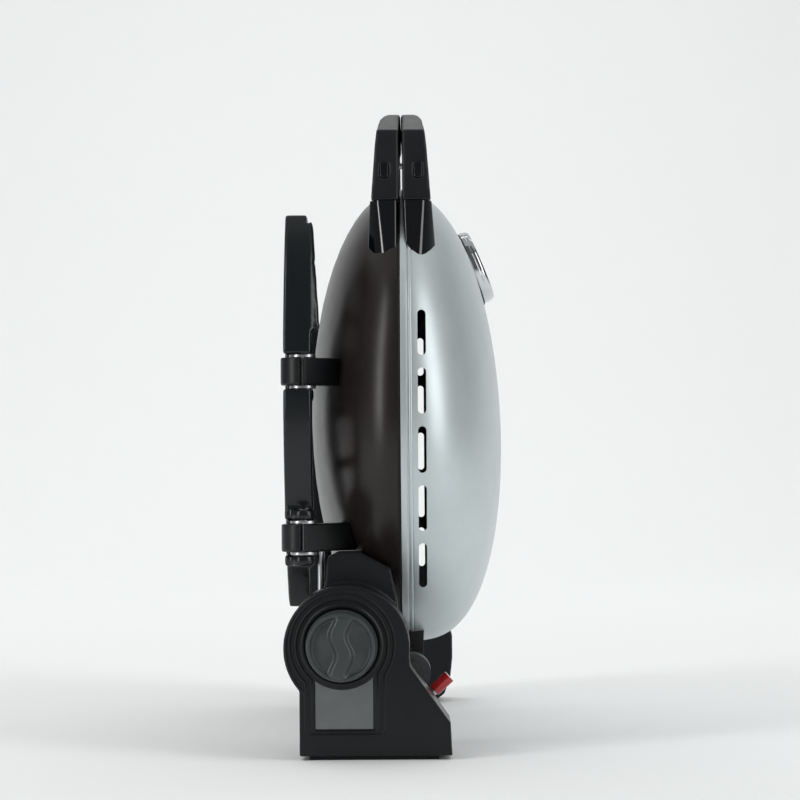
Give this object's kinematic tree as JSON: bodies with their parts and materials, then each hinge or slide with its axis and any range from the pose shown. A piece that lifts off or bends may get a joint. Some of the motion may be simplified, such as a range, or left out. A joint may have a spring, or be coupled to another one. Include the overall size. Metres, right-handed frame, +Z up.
{
  "type": "portable tabletop grill",
  "caption": "Clamshell gas grill, shut and standing on end for carrying: domed silver lid, dark bowl, folded legs, split handle, control housing.",
  "frame": {"origin": "on the floor, below the middle of the standing grill's box", "axes": "+Z up towards the carrying handle, +X from the folded legs towards the lid, +Y along the long rims from the control knob towards the far foot"},
  "size_m": [0.1638, 0.495, 0.483],
  "materials": {
    "base_paint": "satin metallic dark brown-black",
    "lid_paint": "satin metallic silver",
    "seal": "matt",
    "handle_plastic": "fine moulded grain",
    "gloss_plastic": "polished",
    "hinge_black": "satin moulded",
    "leg_black": "satin moulded",
    "housing_black": "fine moulded grain",
    "knob_grey": "satin",
    "plate": "satin foil",
    "steel": "zinc plated",
    "hot_steel": "dull, heat tinted",
    "brass": "machined",
    "regulator": "die cast, fine grain",
    "grate_iron": "seasoned",
    "ceramic": "glazed",
    "chrome": "polished",
    "flange": "satin",
    "dial": "matt",
    "needle_red": "matt",
    "lens": "clear",
    "cap_red": "glossy moulded"
  },
  "bodies": {
    "base": {"base_shell": "base_paint", "rim_seal": "seal", "base_handle_half": "handle_plastic", "base_handle_mounts": "gloss_plastic", "base_screw_plugs": "gloss_plastic", "latch_catch": "steel", "base_hinge_brackets": "hinge_black", "hinge_pins": "steel", "leg_brackets": "hinge_black", "leg_pivot_caps": "hinge_black", "near_foot_frame": "housing_black", "control_housing": "housing_black", "knob_bezel": "knob_grey", "blank_plate": "plate", "far_foot_frame": "housing_black", "far_foot_cover": "housing_black", "foot_pads": "seal", "housing_screws": "steel", "stay_rods": "steel", "valve_body": "brass", "gas_pipe": "steel", "orifice_fitting": "brass", "regulator_body": "regulator", "inlet_fitting": "brass", "venturi_tube": "hot_steel", "burner_tube": "hot_steel", "burner_brackets": "hot_steel", "heat_plate": "hot_steel", "igniter_electrode": "ceramic", "grease_tray": "steel", "grate_rests": "base_paint", "cooking_grate": "grate_iron"},
    "lid": {"lid_shell": "lid_paint", "lid_handle_half": "handle_plastic", "lid_handle_mounts": "gloss_plastic", "lid_screw_plugs": "gloss_plastic", "lid_hinge_arms": "hinge_black", "thermo_flange": "flange", "thermo_bezel": "chrome", "thermo_dial": "dial", "thermo_lens": "lens", "thermo_probe": "steel", "thermo_nut": "steel"},
    "needle": {"thermo_needle": "needle_red"},
    "latch": {"latch_lever": "steel"},
    "near_leg": {"near_leg": "leg_black", "near_leg_pins": "steel", "near_leg_washers": "steel"},
    "far_leg": {"far_leg": "leg_black", "far_leg_pins": "steel", "far_leg_washers": "steel"},
    "stem": {"push_collar": "brass"},
    "knob": {"control_knob": "knob_grey", "valve_stem": "steel"},
    "inlet_cap": {"inlet_cap": "cap_red"}
  },
  "joints": [
    {"name": "lid_hinge", "type": "hinge", "parent": "base", "child": "lid", "pos_m": [0.0063, 0.01095, 0.066], "axis": [0, 1, 0], "range_deg": [0, 85]},
    {"name": "near_leg_fold", "type": "hinge", "parent": "base", "child": "near_leg", "pos_m": [-0.0659, -0.19005, 0.247], "axis": [0, 0, 1], "range_deg": [0, 95]},
    {"name": "far_leg_fold", "type": "hinge", "parent": "base", "child": "far_leg", "pos_m": [-0.0659, 0.21195, 0.247], "axis": [0, 0, -1], "range_deg": [0, 95]},
    {"name": "knob_push", "type": "slide", "parent": "base", "child": "stem", "axis": [0, 1, 0], "range_m": [0, 0.004], "stiffness_N_per_m": 600, "springref_m": -0.002},
    {"name": "knob_turn", "type": "hinge", "parent": "stem", "child": "knob", "pos_m": [-0.0379, -0.22905, 0.0815], "axis": [0, -1, 0], "range_deg": [0, 225]},
    {"name": "needle_turn", "type": "hinge", "parent": "lid", "child": "needle", "pos_m": [0.05956, 0.01095, 0.36503], "axis": [0.9239, 0, 0.3827], "range_deg": [0, 240], "stiffness_Nm_per_rad": 0.0005},
    {"name": "latch_pivot", "type": "hinge", "parent": "lid", "child": "latch", "pos_m": [0.0166, 0.01095, 0.449], "axis": [0, -1, 0], "range_deg": [0, 25], "stiffness_Nm_per_rad": 0.4, "springref_deg": -11.46},
    {"name": "cap_pull", "type": "slide", "parent": "base", "child": "inlet_cap", "axis": [0.7431, 0, 0.6691], "range_m": [0, 0.008]}
  ]
}
